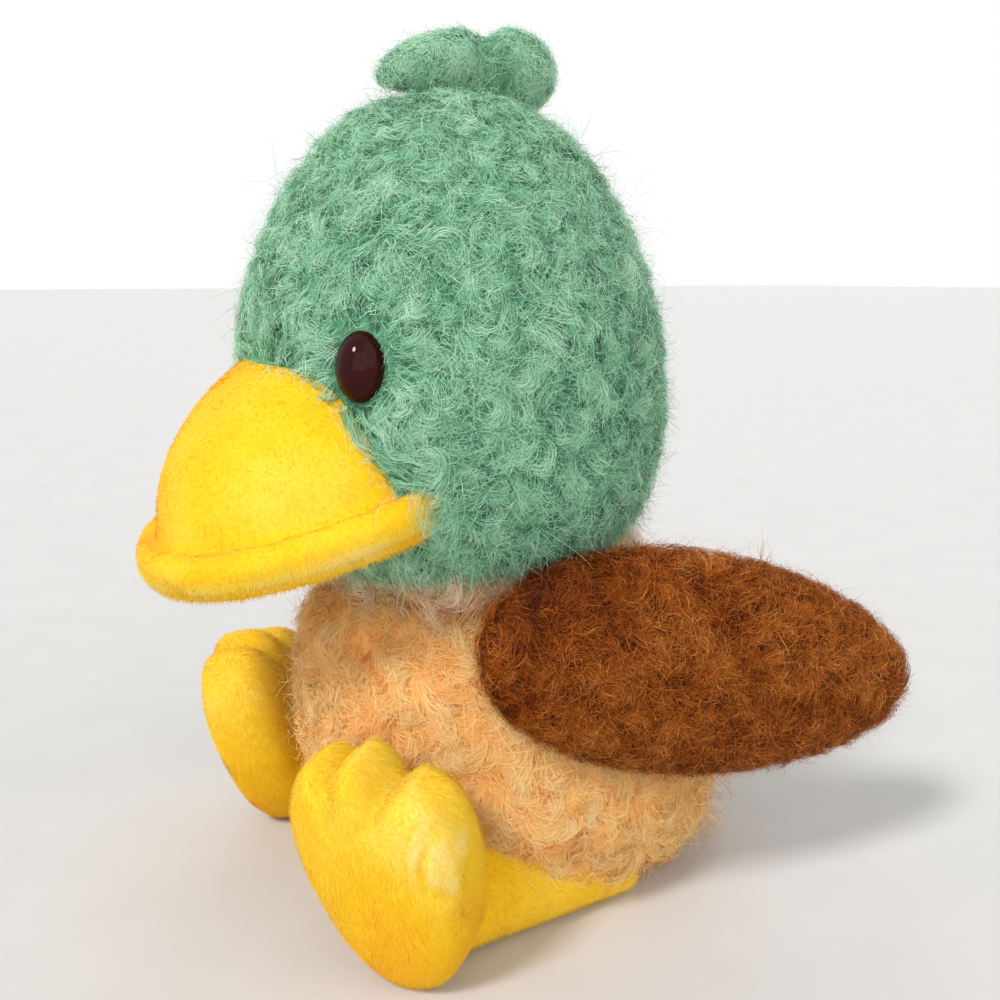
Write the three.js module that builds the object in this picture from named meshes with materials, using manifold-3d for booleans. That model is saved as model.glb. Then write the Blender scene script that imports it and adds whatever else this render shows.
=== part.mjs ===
// A seated plush duck, in millimetres: it faces -Y, its left side is +X and +Z is up.
// The origin lies on the flat seat that it rests on, under the middle of the neck.
import * as THREE from "three";
import { mergeVertices } from "three/addons/utils/BufferGeometryUtils.js";
import Module from "manifold-3d";

const wasm = await Module();
wasm.setup();

// Cloth thicknesses, the clearance between pieces that touch, and the flat under a soft foot.
const gap = 0.3;
const furWall = 3;
const velourWall = 1.6;
const floorCut = 0.5;

// Head: a round egg, broad at the cheeks, that turns on its own upright axis.
const headRadius = 55;
const headHeight = 121;
const headBottom = 87;
const headForward = 12.6;
const neckOpening = 21;
// Radius and height of the profile from the neck up.
const headProfileShares = [
  [0, 0],
  [0.4, 0.012],
  [0.7, 0.06],
  [0.91, 0.15],
  [0.995, 0.28],
  [1, 0.4],
  [0.965, 0.53],
  [0.875, 0.67],
  [0.735, 0.8],
  [0.53, 0.915],
  [0.28, 0.978],
  [0, 1],
];

// Body: a pear that leans forward at the chest, with a flat seat.
const bodyHalfWidth = 52;
const bodyHalfDepth = 60;
const bodyLean = 20;
const seatBack = 14;
const neckSunk = 6;
const bodyHeight = headBottom + neckSunk;
// Height, girth and forward lean of each level.
const bodyLevelShares = [
  [0, 0.62, 0],
  [0.04, 0.78, 0],
  [0.11, 0.87, 0.05],
  [0.21, 0.95, 0.175],
  [0.34, 0.99, 0.35],
  [0.48, 0.955, 0.575],
  [0.62, 0.91, 0.725],
  [0.75, 0.86, 0.85],
  [0.86, 0.78, 0.925],
  [0.94, 0.64, 0.975],
  [0.985, 0.42, 1],
];

// Pellet bag in the seat, and the collar between body and head.
const pelletMargin = 12;
const pelletRadius = bodyHalfWidth - pelletMargin;
const pelletHeight = 22;
const collarRadius = 40;
const collarWidth = 17;
const collarHeight = 15;
const collarLift = 3;
const collarBehind = 8.6;

// Eye: an oval domed button on a shank, locked by a washer inside the cover.
const eyeWidth = 11;
const eyeHeight = 15.5;
const eyeDome = 5.2;
const eyeSunk = 1.6;
const eyeLift = 58;
const eyeTurn = 41;
const shankRadius = 1.6;
const shankLength = 11;
const washerRadius = 7;
const washerThickness = 1.4;

// Bill: a half dome with a stitched lip over a flat lower bill, tilted down from its corners.
const billHalfWidth = 39;
const billLength = 45.5;
const billDome = 37;
const billLift = 26;
const billAhead = 31.4;
const billTilt = 18.5;
const domeSideShare = 0.66;
const domeRidgeShare = 1.15;
const lipReach = 5.5;
const lipThickness = 7;
const lowerThickness = 6;

// Crest: a rolled tuft on a ball root, curling forward over the crown.
const crestBall = 7.5;
const crestSeat = 5.5;
const crestBehind = 17.6;
const crestLength = 34;
const crestRise = 6;
const crestWidthShare = 1.3;
// Reach, rise and girth of the spots along its spine.
const crestSpineShares = [
  [0, 0, 1],
  [0.1, 0.55, 1.12],
  [0, 1, 1.1],
  [-0.25, 1.02, 1],
  [-0.54, 0.9, 0.96],
  [-0.8, 0.6, 0.76],
  [-1, 0.2, 0.44],
];

// Wing: a flat teardrop pillow sewn along its front edge.
const wingLength = 128;
const wingHeight = 58;
const wingThickness = 27;
const wingInset = 5;
const wingFront = 32;
const wingDrop = 10;
const wingFlare = 8.5;
const wingDroop = 12.5;
const wingTaperShare = 0.13;
const wingEdgeShare = 0.75;

// Leg: a teardrop that lies on the floor from under the body's side to the ankle ball.
const hipInset = 15.5;
const hipX = bodyHalfWidth - hipInset;
const hipBehind = 4;
const hipBack = seatBack + hipBehind;
const hipRadius = 6;
const ankleBall = 16.5;
const legInturn = 3;
const legReach = 49;
const legSwing = 20;
const rightSpread = 8.5;

// Foot: a puffed webbed foot with three toes, standing on its heel against the ankle ball.
const footHeight = 64;
const footWidth = 44;
const footThickness = 26;
const footAhead = 13;
const footSplay = 33;
const footLean = 13;
const footRoll = 7;
const footEdgeShare = 0.6;
// The outline from the heel up the outer side, over three toes and down the inner side.
const footOutlineShares = [
  [0, -1],
  [0.45, -0.88],
  [0.8, -0.5],
  [1, 0],
  [1.02, 0.38],
  [0.88, 0.68],
  [0.56, 0.8],
  [0.26, 0.68],
  [-0.02, 0.99],
  [-0.32, 0.8],
  [-0.62, 0.92],
  [-0.94, 0.6],
  [-0.98, 0.1],
  [-0.78, -0.5],
  [-0.42, -0.88],
];

// Facets: outer forms are finer than the linings and stuffing inside them.
const outerSides = 28;
const outerLevels = 11;
const innerSides = 20;
const innerLevels = 7;
const roundSides = 16;
const roundLevels = 8;
const ballSides = 20;
const limbSides = 16;
const crestSides = 12;
const footSides = 32;
const shankSides = 10;
const degree = Math.PI / 180;
const turn = 2 * Math.PI;

// Evenly spaced shares from 0 to 1.
function shares(count) {
  return Array.from({ length: count + 1 }, (_, step) => step / count);
}

// Points once round a ring, placed by the angle of each.
function ring(sides, place) {
  return Array.from({ length: sides }, (_, side) => place((side / sides) * turn));
}

// A closed surface over a stack of rings. A ring of one point is a pole.
function skin(rings) {
  const starts = rings.map((_, level) => rings.slice(0, level).flat().length);
  const faces = [];
  for (let level = 0; level + 1 < rings.length; level++) {
    const [lower, upper] = [rings[level].length, rings[level + 1].length];
    const sides = Math.max(lower, upper);
    for (let side = 0; side < sides; side++) {
      const next = (side + 1) % sides;
      const low = [side, next].map((i) => starts[level] + (i % lower));
      const high = [side, next].map((i) => starts[level + 1] + (i % upper));
      if (lower > 1) faces.push(low[0], low[1], high[0]);
      if (upper > 1) faces.push(low[1], high[1], high[0]);
    }
  }
  const geometry = new THREE.BufferGeometry().setFromPoints(rings.flat());
  return geometry.setIndex(faces);
}

// Geometry to a solid that can be joined and cut, and back.
function solid(geometry) {
  const bare = geometry.clone();
  bare.deleteAttribute("normal");
  bare.deleteAttribute("uv");
  const merged = mergeVertices(bare);
  const mesh = new wasm.Mesh({
    numProp: 3,
    vertProperties: merged.attributes.position.array,
    triVerts: new Uint32Array(merged.index.array),
  });
  return new wasm.Manifold(mesh);
}

function surface(piece) {
  const { vertProperties, triVerts } = piece.getMesh();
  const geometry = new THREE.BufferGeometry();
  geometry.setAttribute("position", new THREE.BufferAttribute(vertProperties, 3));
  geometry.setIndex(new THREE.BufferAttribute(triVerts, 1));
  geometry.computeVertexNormals();
  return geometry;
}

function cut(piece, ...tools) {
  return tools.reduce((rest, tool) => rest.subtract(tool), piece);
}

// The other side's copy of a piece.
function mirrored(piece) {
  const geometry = surface(piece).scale(-1, 1, 1);
  const faces = geometry.index.array;
  for (let i = 0; i < faces.length; i += 3) [faces[i], faces[i + 1]] = [faces[i + 1], faces[i]];
  return solid(geometry);
}

// Everything below the floor, as a tool.
function underFloor() {
  const size = 4 * bodyHeight;
  return solid(new THREE.BoxGeometry(size, size, size).translate(0, 0, -size / 2));
}

const headCurve = new THREE.SplineCurve(headProfileShares.map(([x, y]) => new THREE.Vector2(x, y)));
const profileSteps = shares(200);

// One level of the head, at a share of its profile from the neck up, grown all round.
function headRing(share, grow, sides) {
  const profile = headCurve.getPoint(share);
  const radius = profile.x * (headRadius + grow);
  const z = headBottom + headHeight / 2 + (profile.y - 0.5) * (headHeight + 2 * grow);
  if (share === 0 || share === 1) return [new THREE.Vector3(0, -headForward, z)];
  return ring(sides, (a) => {
    return new THREE.Vector3(radius * Math.cos(a), radius * Math.sin(a) - headForward, z);
  });
}

function headForm(grow) {
  const [sides, levels] = grow < 0 ? [innerSides, innerLevels] : [outerSides, outerLevels];
  return solid(skin(shares(levels).map((share) => headRing(share, grow, sides))));
}

const bodyCurve = new THREE.CatmullRomCurve3(bodyLevelShares.map((level) => new THREE.Vector3(...level)));

// One level of the body, grown all round.
function bodyRing(share, grow, sides) {
  const level = bodyCurve.getPoint(share);
  const z = bodyHeight / 2 + (level.x - 0.5) * (bodyHeight + 2 * grow);
  const forward = bodyLean * level.z - seatBack;
  return ring(sides, (a) => {
    const x = (bodyHalfWidth + grow) * level.y * Math.cos(a);
    const y = (bodyHalfDepth + grow) * level.y * Math.sin(a) - forward;
    return new THREE.Vector3(x, y, z);
  });
}

function bodyForm(grow) {
  const [sides, count] = grow < 0 ? [innerSides, innerLevels] : [outerSides, outerLevels];
  const levels = shares(count).map((share) => bodyRing(share, grow, sides));
  const middle = (level) => level.reduce((sum, point) => sum.add(point), new THREE.Vector3());
  const pole = (level) => [middle(level).divideScalar(level.length)];
  return solid(skin([pole(levels[0]), ...levels, pole(levels.at(-1))]));
}

// An upright round bore through the neck.
function neckBore(radius) {
  const height = headHeight / 2;
  const bore = new THREE.CylinderGeometry(radius, radius, height, roundSides);
  return solid(bore.rotateX(Math.PI / 2).translate(0, -headForward, headBottom));
}

// An ellipsoid by its three half sizes, with poles on Z.
function ellipsoid(halfX, halfY, halfZ) {
  const unit = new THREE.SphereGeometry(1, roundSides, roundLevels).rotateX(Math.PI / 2);
  return unit.scale(halfX, halfY, halfZ);
}

function ball(radius, centre) {
  const sphere = new THREE.SphereGeometry(radius, ballSides, ballSides / 2);
  return solid(sphere.rotateX(Math.PI / 2).translate(...centre.toArray()));
}

// A round seat for a ball, wide enough for its facets to turn clear of the ball's.
function ballSeat(radius, centre) {
  return ball((radius + gap) / Math.cos(Math.PI / ballSides) ** 2, centre);
}

function pelletForm(grow) {
  const [flat, half] = [pelletRadius + grow, pelletHeight / 2 + grow];
  const bag = ellipsoid(flat, flat, half);
  return solid(bag.translate(0, seatBack, furWall + 2 * gap + pelletHeight / 2));
}

function collarForm(grow) {
  const [across, up] = [collarWidth / 2 + grow, collarHeight / 2 + grow];
  const section = new THREE.EllipseCurve(collarRadius - collarWidth / 2, 0, across, up);
  const band = new THREE.LatheGeometry(section.getPoints(roundLevels), innerSides);
  return solid(band.rotateX(Math.PI / 2).translate(0, collarBehind - headForward, headBottom + collarLift));
}

// The eye's own frame: +Z looks out of the head at the eye, +Y is up its long side.
function atEye(geometry, depth) {
  const share = profileSteps.find((step) => headCurve.getPoint(step).y * headHeight >= eyeLift);
  const { x: widens, y: rises } = headCurve.getTangent(share);
  const lean = Math.atan2(-widens * headRadius, rises * headHeight);
  const radius = headCurve.getPoint(share).x * headRadius;
  const out = eyeTurn * degree;
  geometry.translate(0, 0, depth).rotateX(Math.PI / 2 - lean).rotateZ(out);
  const [x, y] = [radius * Math.sin(out), -radius * Math.cos(out) - headForward];
  return geometry.translate(x, y, headBottom + eyeLift);
}

function eyeForm(grow) {
  const button = ellipsoid(eyeWidth / 2 + grow, eyeHeight / 2 + grow, eyeDome + grow);
  const back = new THREE.BoxGeometry(2 * eyeWidth, 2 * eyeHeight, 2 * eyeDome);
  const dome = cut(solid(button), solid(back.translate(0, 0, -eyeDome - grow)));
  const [radius, length] = [shankRadius + grow, shankLength + grow];
  const shank = new THREE.CylinderGeometry(radius, radius, length, shankSides);
  shank.rotateX(Math.PI / 2).translate(0, 0, eyeDome / 4 - length / 2);
  return solid(atEye(surface(dome.add(solid(shank))), -eyeSunk));
}

function washerForm(grow, bore) {
  const [radius, height] = [washerRadius + grow, washerThickness + 2 * grow];
  const disc = new THREE.CylinderGeometry(radius, radius, height, roundSides);
  const hole = new THREE.CylinderGeometry(bore, bore, 4 * washerThickness, shankSides);
  const washer = bore ? cut(solid(disc), solid(hole)) : solid(disc);
  const seat = furWall + washerThickness / 2 + 4 * gap;
  return solid(atEye(surface(washer).rotateX(Math.PI / 2), -seat));
}

// The bill's own frame: the mouth's plane, with its corners on the head.
function atBill(geometry) {
  geometry.rotateX(billTilt * degree);
  return geometry.translate(0, -headForward - billAhead, headBottom + billLift);
}

// A flat-bottomed dome over the mouth's outline, grown all round but at its flat side. Its
// section is full from side to side, and its ridge falls in a flatter curve to the front.
function domeForm(grow) {
  const rows = shares(8).slice(0, -1).map((share) => {
    const lift = (share * Math.PI) / 2;
    const wide = (billHalfWidth + grow) * Math.cos(lift) ** domeSideShare;
    const long = (billLength + grow) * Math.cos(lift) ** domeRidgeShare;
    const z = (billDome + grow) * Math.sin(lift);
    return ring(outerSides, (a) => new THREE.Vector3(wide * Math.cos(a), long * Math.sin(a), z));
  });
  const pole = (z) => [new THREE.Vector3(0, 0, z)];
  return solid(skin([pole(0), ...rows, pole(billDome + grow)]));
}

// A rounded slab over the mouth's outline, between two heights.
function slabForm(reach, low, high) {
  const half = (high - low) / 2;
  const rows = shares(6).map((share) => {
    const rise = Math.cos(share * Math.PI);
    const inset = half * (1 - Math.sin(share * Math.PI));
    const [wide, long] = [billHalfWidth + reach - inset, billLength + reach - inset];
    const z = low + half - half * rise;
    return ring(outerSides, (a) => new THREE.Vector3(wide * Math.cos(a), long * Math.sin(a), z));
  });
  const pole = (row) => [new THREE.Vector3(0, 0, row[0].z)];
  return solid(skin([pole(rows[0]), ...rows, pole(rows.at(-1))]));
}

function billPieces(head) {
  const inner = domeForm(-velourWall);
  const lip = slabForm(lipReach, 0, lipThickness);
  const mouth = solid(surface(inner).translate(0, 0, -gap));
  const upper = cut(domeForm(0).add(lip), inner, mouth);
  const lower = slabForm(lipReach - gap, -gap - lowerThickness, -gap);
  const stuffing = domeForm(-velourWall - gap);
  const seat = (piece) => cut(solid(atBill(surface(piece))), head);
  return [upper, lower, stuffing].map(seat);
}

// The middle of the crest's root ball, at its seat over the crown.
function crestRoot() {
  const share = profileSteps.findLast((step) => headCurve.getPoint(step).x * headRadius >= crestBehind);
  const rise = headCurve.getPoint(share).y * headHeight;
  return new THREE.Vector3(0, crestBehind - headForward, headBottom + rise + crestSeat);
}

// The crest rises from its root ball, goes back and rolls forward over the crown.
function crestForm() {
  const middle = crestRoot();
  const spots = crestSpineShares.map(([along, rise]) => {
    return new THREE.Vector3(0, along * crestLength, rise * crestRise).add(middle);
  });
  const spine = new THREE.CatmullRomCurve3(spots);
  const rows = shares(9).map((share) => {
    const centre = spine.getPoint(share);
    const ahead = spine.getTangent(share);
    const up = ahead.clone().cross(new THREE.Vector3(1, 0, 0));
    const spot = share * (spots.length - 1);
    const [low, high] = [Math.floor(spot), Math.ceil(spot)];
    const girths = [low, high].map((index) => crestSpineShares[index][2]);
    const radius = crestBall * THREE.MathUtils.lerp(...girths, spot - low);
    const wide = radius * crestWidthShare;
    return ring(crestSides, (a) => {
      const point = new THREE.Vector3(wide * Math.cos(a), 0, 0).addScaledVector(up, radius * Math.sin(a));
      return point.add(centre);
    });
  });
  const tip = spine.getPoint(1).addScaledVector(spine.getTangent(1), crestBall / 3);
  const roll = skin([[spine.getPoint(0)], ...rows, [tip]]);
  return solid(roll).add(ball(crestBall, middle));
}

// A pillow over an outline given by angle. Its faces bulge by half a thickness, and a lower
// edge share makes them flatter with fuller edges.
function pillow(outline, half, edgeShare, sides, levels) {
  const rows = shares(levels).slice(1, -1).map((share) => {
    const lift = (share - 0.5) * Math.PI;
    const spread = Math.cos(lift) ** edgeShare;
    const z = half * Math.sign(lift) * Math.abs(Math.sin(lift)) ** edgeShare;
    return ring(sides, (a) => {
      const edge = outline(a);
      return new THREE.Vector3(edge.x * spread, edge.y * spread, z);
    });
  });
  const pole = (z) => [new THREE.Vector3(0, 0, z)];
  return skin([pole(-half), ...rows, pole(half)]);
}

// The wing's outline about its middle: full at the front, drawn in behind.
function wingOutline(a) {
  const x = (wingLength / 2) * Math.cos(a);
  const taper = 1 - wingTaperShare * Math.cos(a);
  return new THREE.Vector2(x, (wingHeight / 2) * Math.sin(a) * taper);
}

function wingForm() {
  const wing = pillow(wingOutline, wingThickness / 2, wingEdgeShare, outerSides, roundLevels);
  wing.translate(wingLength / 2, 0, 0).rotateZ(-wingDroop * degree);
  wing.rotateX(Math.PI / 2).rotateZ(Math.PI / 2 - wingFlare * degree);
  return solid(wing.translate(bodyHalfWidth - wingInset, -wingFront, bodyHeight - wingDrop));
}

const hip = new THREE.Vector3(hipX, hipBack, hipRadius - floorCut);
const ankle = new THREE.Vector3(hipX - legInturn, hipBack - legReach, ankleBall - floorCut);

// A teardrop limb that swells from a small round hip to the ankle ball.
function legForm(grow) {
  const axis = ankle.clone().sub(hip).normalize();
  const side = new THREE.Vector3(0, 0, 1).cross(axis).normalize();
  const up = axis.clone().cross(side);
  const tilt = Math.asin((ankleBall - hipRadius) / ankle.distanceTo(hip));
  const round = (centre, radius, from, to) => (share) => {
    const angle = from + (to - from) * share;
    const middle = centre.clone().addScaledVector(axis, radius * Math.cos(angle));
    if (angle === 0 || angle === Math.PI) return [middle];
    return ring(limbSides, (a) => {
      const point = middle.clone().addScaledVector(side, radius * Math.sin(angle) * Math.cos(a));
      return point.addScaledVector(up, radius * Math.sin(angle) * Math.sin(a));
    });
  };
  const hipEnd = shares(2).map(round(hip, hipRadius + grow, Math.PI, Math.PI / 2 + tilt));
  const ankleEnd = shares(6).map(round(ankle, ankleBall + grow, Math.PI / 2 + tilt, 0));
  return solid(skin([...hipEnd, ...ankleEnd]));
}

const footCurve = new THREE.CatmullRomCurve3(
  footOutlineShares.map(([x, y]) => new THREE.Vector3((x * footWidth) / 2, (y * footHeight) / 2, 0)),
  true,
);

function footForm() {
  const outline = (a) => footCurve.getPoint(a / turn);
  const foot = pillow(outline, footThickness / 2, footEdgeShare, footSides, roundLevels);
  foot.translate(0, footHeight / 2 - floorCut, 0).rotateZ(footRoll * degree);
  foot.rotateX(Math.PI / 2 + footLean * degree);
  foot.translate(0, -footAhead, 0).rotateZ(footSplay * degree);
  return solid(foot.translate(ankle.x, ankle.y, 0));
}

const paint = {
  green: ["#64a582", 0.95],
  yellow: ["#ffd71e", 0.8],
  eye: ["#320505", 0.12],
  washer: ["#e6e6e2", 0.5],
  cream: ["#ebcdb9", 0.95],
  peach: ["#f0b478", 0.95],
  brown: ["#82410f", 0.9],
  fibre: ["#f2f2ee", 1],
  calico: ["#e8e0cc", 0.9],
};

function piece(name, form, [color, roughness]) {
  const material = new THREE.MeshStandardMaterial({ color, roughness, metalness: 0 });
  const mesh = new THREE.Mesh(surface(form), material);
  mesh.name = name;
  return mesh;
}

function buildHead() {
  const head = headForm(gap);
  const [eye, eyeSeat] = [eyeForm(0), eyeForm(gap)];
  const [washer, washerSeat] = [washerForm(0, shankRadius + gap), washerForm(gap, 0)];
  const eyeSeats = [eyeSeat, mirrored(eyeSeat)];
  const washerSeats = [washerSeat, mirrored(washerSeat)];
  const inside = [headForm(-furWall), neckBore(neckOpening), ballSeat(crestBall, crestRoot())];
  const holes = [...inside, ...eyeSeats, ...washerSeats];
  const stuffing = cut(headForm(-furWall - gap), ...eyeSeats, ...washerSeats);
  const [upper, lower, billStuffing] = billPieces(head);
  const group = new THREE.Group();
  group.add(
    piece("head_cover", cut(headForm(0), ...holes), paint.green),
    piece("head_stuffing", stuffing, paint.fibre),
    piece("crest", cut(crestForm(), headForm(gap)), paint.green),
    piece("bill_upper", upper, paint.yellow),
    piece("bill_lower", lower, paint.yellow),
    piece("bill_stuffing", billStuffing, paint.fibre),
    piece("eye_left", eye, paint.eye),
    piece("eye_right", mirrored(eye), paint.eye),
    piece("eye_washer_left", washer, paint.washer),
    piece("eye_washer_right", mirrored(washer), paint.washer),
  );
  return group;
}

function buildBody() {
  const head = headForm(gap);
  const cover = cut(bodyForm(0), bodyForm(-furWall), head, neckBore(neckOpening), underFloor());
  const middle = solid(surface(underFloor()).translate(0, 0, furWall + pelletHeight / 2));
  const stuffing = cut(bodyForm(-furWall - gap), head, pelletForm(gap), middle);
  const group = new THREE.Group();
  group.add(
    piece("body_cover", cover, paint.peach),
    piece("body_stuffing", stuffing, paint.fibre),
    piece("pellet_bag", pelletForm(0), paint.calico),
    piece("neck_ring", cut(collarForm(0), head, bodyForm(gap)), paint.cream),
  );
  return group;
}

// A form of the left side turned outward about the upright line through the hip.
function spread(form, angle) {
  const limb = surface(form).translate(-hip.x, -hip.y, 0).rotateZ(angle * degree);
  return solid(limb.translate(hip.x, hip.y, 0));
}

function buildLimbs() {
  const body = bodyForm(gap);
  const wing = cut(wingForm(), body, headForm(gap), collarForm(gap));
  // The leg clears the body all the way through its swing.
  const bodies = shares(4).map((share) => spread(body, -share * legSwing));
  const leg = cut(legForm(0), ...bodies, underFloor());
  const foot = cut(footForm(), legForm(gap), ballSeat(ankleBall, ankle), body, underFloor());
  const group = new THREE.Group();
  group.add(
    piece("wing_left", wing, paint.brown),
    piece("wing_right", mirrored(wing), paint.brown),
    piece("leg_left", leg, paint.yellow),
    piece("leg_right", mirrored(spread(leg, rightSpread)), paint.yellow),
    piece("foot_left", foot, paint.yellow),
    piece("foot_right", mirrored(spread(foot, rightSpread)), paint.yellow),
  );
  return group;
}

const duck = new THREE.Group();
duck.add(buildHead(), buildBody(), buildLimbs());

export default duck;
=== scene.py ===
"""A seated plush duck: curly green head with a rolled crest, yellow bill, legs and feet,
peach body, cream neck and brown wings. Lengths are in millimetres until a mesh is made, but
the camera's and the lights' places are in metres."""

import math

import bpy
import numpy as np
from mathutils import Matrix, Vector
from mathutils.bvhtree import BVHTree
from mathutils.kdtree import KDTree


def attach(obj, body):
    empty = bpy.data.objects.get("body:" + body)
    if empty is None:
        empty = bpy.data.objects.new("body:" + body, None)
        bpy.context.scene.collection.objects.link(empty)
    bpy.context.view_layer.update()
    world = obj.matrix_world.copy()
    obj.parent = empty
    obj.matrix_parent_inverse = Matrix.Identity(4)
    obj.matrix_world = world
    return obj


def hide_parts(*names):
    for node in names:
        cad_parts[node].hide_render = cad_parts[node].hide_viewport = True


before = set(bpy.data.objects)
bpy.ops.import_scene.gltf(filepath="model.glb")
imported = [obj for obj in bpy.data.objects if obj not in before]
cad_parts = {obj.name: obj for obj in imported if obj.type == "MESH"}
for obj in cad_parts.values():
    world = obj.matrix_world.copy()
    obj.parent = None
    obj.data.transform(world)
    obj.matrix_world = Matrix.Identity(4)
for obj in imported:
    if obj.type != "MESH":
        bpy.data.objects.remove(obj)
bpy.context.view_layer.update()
MM = 0.001

# Camera and light

FACING = math.radians(59.7)
PITCH = math.radians(12)
SENSOR_WIDTH, LENS = 36, 37.8
CAMERA_PLACE = (0.24362, -0.14005, 0.1636)
camera = bpy.data.objects.new("camera", bpy.data.cameras.new("camera"))
camera.data.sensor_width = SENSOR_WIDTH
camera.data.lens = LENS
camera.location = CAMERA_PLACE
ahead = Vector((-math.sin(FACING), math.cos(FACING), -math.tan(PITCH)))
camera.rotation_euler = ahead.to_track_quat("-Z", "Y").to_euler()
bpy.context.scene.collection.objects.link(camera)
bpy.context.scene.camera = camera
bpy.context.scene.view_settings.view_transform = "Standard"


def soft_light(name, place, strength, spread):
    """Light from far off, spread over a wide angle, so that the whole floor gets the same."""
    light = bpy.data.lights.new(name, "SUN")
    light.energy = strength
    light.angle = math.radians(spread)
    made = bpy.data.objects.new(name, light)
    made.location = place
    made.rotation_euler = (-Vector(place)).to_track_quat("-Z", "Y").to_euler()
    bpy.context.scene.collection.objects.link(made)


WIDE = 60
soft_light("key", (0.3, -0.8, 0.85), strength=2.0, spread=12)
soft_light("front", (1, -0.6, 0.3), strength=0.6, spread=WIDE)
soft_light("fill", (1.2, 0.5, 0.8), strength=0.5, spread=WIDE)
soft_light("rim", (-0.9, 0.8, 0.7), strength=0.5, spread=WIDE)


# Node materials


def node_tree(name):
    material = bpy.data.materials.new(name)
    material.use_nodes = True
    tree = material.node_tree
    shader = tree.nodes["Principled BSDF"]
    return material, tree, shader


def node(tree, kind, **values):
    """A new node, with its sockets or else its properties set."""
    made = tree.nodes.new(kind)
    for key, value in values.items():
        if key in made.inputs:
            made.inputs[key].default_value = value
        else:
            setattr(made, key, value)
    return made


def srgb(*parts):
    """Screen colour, 0 to 255, to the linear colour that a shader takes."""
    line = [p / 255 for p in parts]
    line = [p / 12.92 if p <= 0.04045 else ((p + 0.055) / 1.055) ** 2.4 for p in line]
    return (*line, 1)


def ramp(tree, source, *stops):
    """A colour ramp with stops of place and colour."""
    made = node(tree, "ShaderNodeValToRGB")
    elements = made.color_ramp.elements
    while len(elements) < len(stops):
        elements.new(0.5)
    for element, (place, colour) in zip(elements, stops):
        element.position = place
        element.color = colour
    tree.links.new(source, made.inputs["Fac"])
    return made.outputs["Color"]


def noise(tree, scale, detail):
    """Smooth noise over the object, from 0 to 1."""
    place = node(tree, "ShaderNodeTexCoord")
    made = node(tree, "ShaderNodeTexNoise", Scale=scale, Detail=detail)
    tree.links.new(place.outputs["Object"], made.inputs["Vector"])
    return made.outputs["Fac"]


def pile_material(name, *stops, rough=0.75, sheen=0.35, gloss=0.25, scale=60, mottle=0.3):
    """Fibres coloured by their own shade, mottled a little from place to place."""
    material, tree, shader = node_tree(name)
    shade = node(tree, "ShaderNodeAttribute", attribute_name="shade")
    mottled = noise(tree, scale, 3)
    shift = node(tree, "ShaderNodeMath", operation="MULTIPLY_ADD")
    tree.links.new(mottled, shift.inputs[0])
    shift.inputs[1].default_value = mottle
    shift.inputs[2].default_value = -mottle / 2
    total = node(tree, "ShaderNodeMath", operation="ADD")
    tree.links.new(shift.outputs[0], total.inputs[0])
    tree.links.new(shade.outputs["Fac"], total.inputs[1])
    tree.links.new(ramp(tree, total.outputs[0], *stops), shader.inputs["Base Color"])
    shader.inputs["Roughness"].default_value = rough
    shader.inputs["Sheen Weight"].default_value = sheen
    shader.inputs["Sheen Roughness"].default_value = 0.5
    shader.inputs["Sheen Tint"].default_value = stops[-1][1]
    shader.inputs["Specular IOR Level"].default_value = gloss
    return material


VELOUR_MOTTLE = {"scale": 45, "mottle": 0.12}


def velour_material(name, *stops, scale=1500, strength=0.2):
    """The cloth under a short pile: the same colouring, with a fine bump."""
    material = pile_material(name, *stops, rough=0.85, sheen=0.5, **VELOUR_MOTTLE)
    tree = material.node_tree
    grain = noise(tree, scale, 4)
    bump = node(tree, "ShaderNodeBump", Strength=strength, Distance=0.0006)
    tree.links.new(grain, bump.inputs["Height"])
    tree.links.new(bump.outputs["Normal"], tree.nodes["Principled BSDF"].inputs["Normal"])
    return material


GREEN = pile_material(
    "green_pile",
    (0.0, srgb(40, 92, 62)), (0.3, srgb(104, 170, 130)),
    (0.62, srgb(160, 218, 178)), (1.0, srgb(214, 246, 220)), mottle=0.2,
)
PEACH = pile_material(
    "peach_pile",
    (0.0, srgb(222, 120, 40)), (0.3, srgb(255, 180, 90)),
    (0.62, srgb(255, 206, 124)), (1.0, srgb(255, 228, 166)), mottle=0.1,
)
BROWN = pile_material(
    "brown_pile",
    (0.0, srgb(50, 12, 0)), (0.3, srgb(116, 50, 8)),
    (0.62, srgb(174, 88, 20)), (1.0, srgb(240, 166, 84)),
    rough=0.6, sheen=0.05, gloss=0.1,
)
CREAM = pile_material(
    "cream_pile",
    (0.0, srgb(186, 118, 70)), (0.35, srgb(248, 186, 134)),
    (0.7, srgb(255, 212, 168)), (1.0, srgb(255, 232, 204)), sheen=0.12,
)
YELLOW_STOPS = (
    (0.0, srgb(236, 136, 4)), (0.3, srgb(248, 186, 18)),
    (0.52, srgb(252, 204, 20)), (0.8, srgb(252, 216, 66)), (1.0, srgb(252, 224, 130)),
)
YELLOW = velour_material("yellow_velour", *YELLOW_STOPS)
YELLOW_NAP = pile_material("yellow_nap", *YELLOW_STOPS, rough=0.8, sheen=0.3, **VELOUR_MOTTLE)


def plain_material(name, low, high, rough, scale, detail=3, spread=0.15, gloss=0.5):
    """One colour, clouded a little between two shades."""
    material, tree, shader = node_tree(name)
    tint = ramp(tree, noise(tree, scale, detail), (0.5 - spread, low), (0.5 + spread, high))
    tree.links.new(tint, shader.inputs["Base Color"])
    shader.inputs["Roughness"].default_value = rough
    shader.inputs["Specular IOR Level"].default_value = gloss
    return material


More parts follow.
